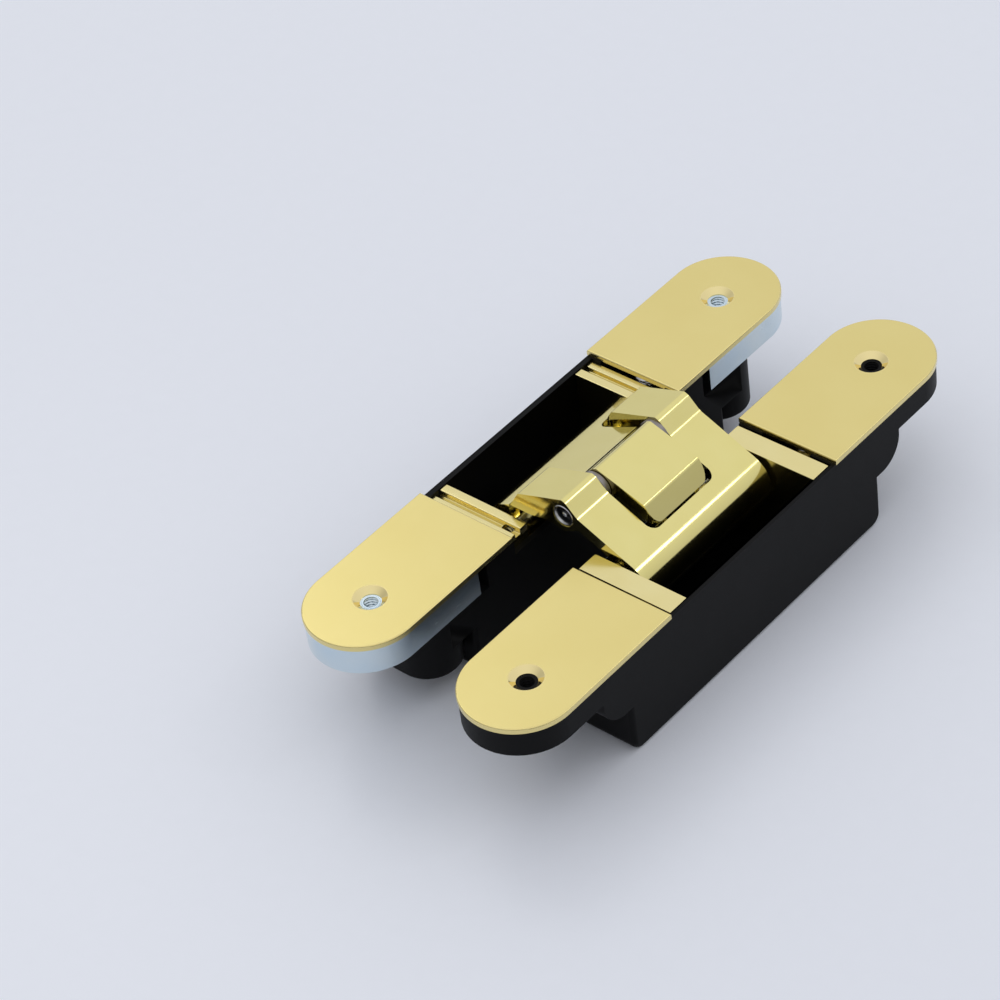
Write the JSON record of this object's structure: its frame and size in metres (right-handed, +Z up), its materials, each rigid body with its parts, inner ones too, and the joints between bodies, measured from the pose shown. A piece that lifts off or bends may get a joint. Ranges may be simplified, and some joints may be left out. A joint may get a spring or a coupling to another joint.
{
  "type": "concealed door hinge",
  "caption": "Concealed door hinge opened flat: two mortise bodies with gold covers, joined by interleaved gooseneck arms and adjustable in height and depth.",
  "frame": {"origin": "floor point midway between the two bodies, at the middle of the hinge's length", "axes": "+X from the jamb body to the door body, +Y along the hinge, +Z up from the bodies' backs to the cover plates"},
  "size_m": [0.0738, 0.16, 0.0399],
  "materials": {
    "casting": "satin black",
    "gold_cover": "satin gold plating",
    "gold_arm": "polished gold plating",
    "gold_block": "brushed gold plating",
    "zinc": "bright zinc plating",
    "steel": "bright steel",
    "washer": "dull steel"
  },
  "bodies": {
    "jamb": {"jamb_body": "casting", "jamb_block_near": "gold_block", "jamb_block_far": "gold_block", "block_screw_near": "steel", "block_screw_far": "steel", "jamb_arm_pin": "steel", "height_screw_near_left": "steel", "height_screw_near_right": "steel", "height_screw_far_left": "steel", "height_screw_far_right": "steel"},
    "plate_near": {"fixing_plate_near": "zinc", "plate_screw_near": "steel", "cover_jamb_near": "gold_cover"},
    "plate_far": {"fixing_plate_far": "zinc", "plate_screw_far": "steel", "cover_jamb_far": "gold_cover"},
    "tongue": {"inner_arm": "gold_arm", "inner_guide_pin": "steel"},
    "fork": {"outer_arm": "gold_arm", "outer_guide_pin": "steel", "centre_pin": "steel", "knuckle_washer_near": "washer", "knuckle_washer_far": "washer"},
    "carriage": {"door_block_near": "gold_block", "door_block_far": "gold_block", "door_arm_pin": "steel"},
    "door": {"door_body": "casting", "cover_door_near": "gold_cover", "cover_door_far": "gold_cover"},
    "screw_near": {"door_screw_near": "steel"},
    "screw_far": {"door_screw_far": "steel"}
  },
  "joints": [
    {"name": "fold", "type": "hinge", "parent": "jamb", "child": "tongue", "pos_m": [-0.014, 0, 0.0164], "axis": [0, -1, 0], "range_deg": [0, 82.28]},
    {"name": "knuckle", "type": "hinge", "parent": "tongue", "child": "fork", "pos_m": [0, 0, 0.0352], "axis": [0, -1, 0], "range_deg": [0, 15.45]},
    {"name": "door_fold", "type": "hinge", "parent": "fork", "child": "carriage", "pos_m": [0.014, 0, 0.0164], "axis": [0, -1, 0], "range_deg": [0, 82.28]},
    {"name": "depth_slide", "type": "slide", "parent": "carriage", "child": "door", "axis": [0, 0, 1], "range_m": [-0.0015, 0.0015]},
    {"name": "depth_screw_near", "type": "hinge", "parent": "door", "child": "screw_near", "pos_m": [0.02285, -0.039, 0.02], "axis": [0, 0, 1], "range_deg": [-432, 432]},
    {"name": "depth_screw_far", "type": "hinge", "parent": "door", "child": "screw_far", "pos_m": [0.02285, 0.039, 0.02], "axis": [0, 0, 1], "range_deg": [-432, 432]},
    {"name": "height_near", "type": "slide", "parent": "jamb", "child": "plate_near", "axis": [0, 1, 0], "range_m": [-0.0025, 0.0025]},
    {"name": "height_far", "type": "slide", "parent": "jamb", "child": "plate_far", "axis": [0, 1, 0], "range_m": [-0.0025, 0.0025]}
  ],
  "couplings": [
    {"joint": "knuckle", "follows": "fold", "ratio": 0.18778},
    {"joint": "door_fold", "follows": "fold", "ratio": 1},
    {"joint": "depth_screw_near", "follows": "depth_slide", "rad_per_m": 5026.5},
    {"joint": "depth_screw_far", "follows": "depth_slide", "rad_per_m": 5026.5}
  ]
}
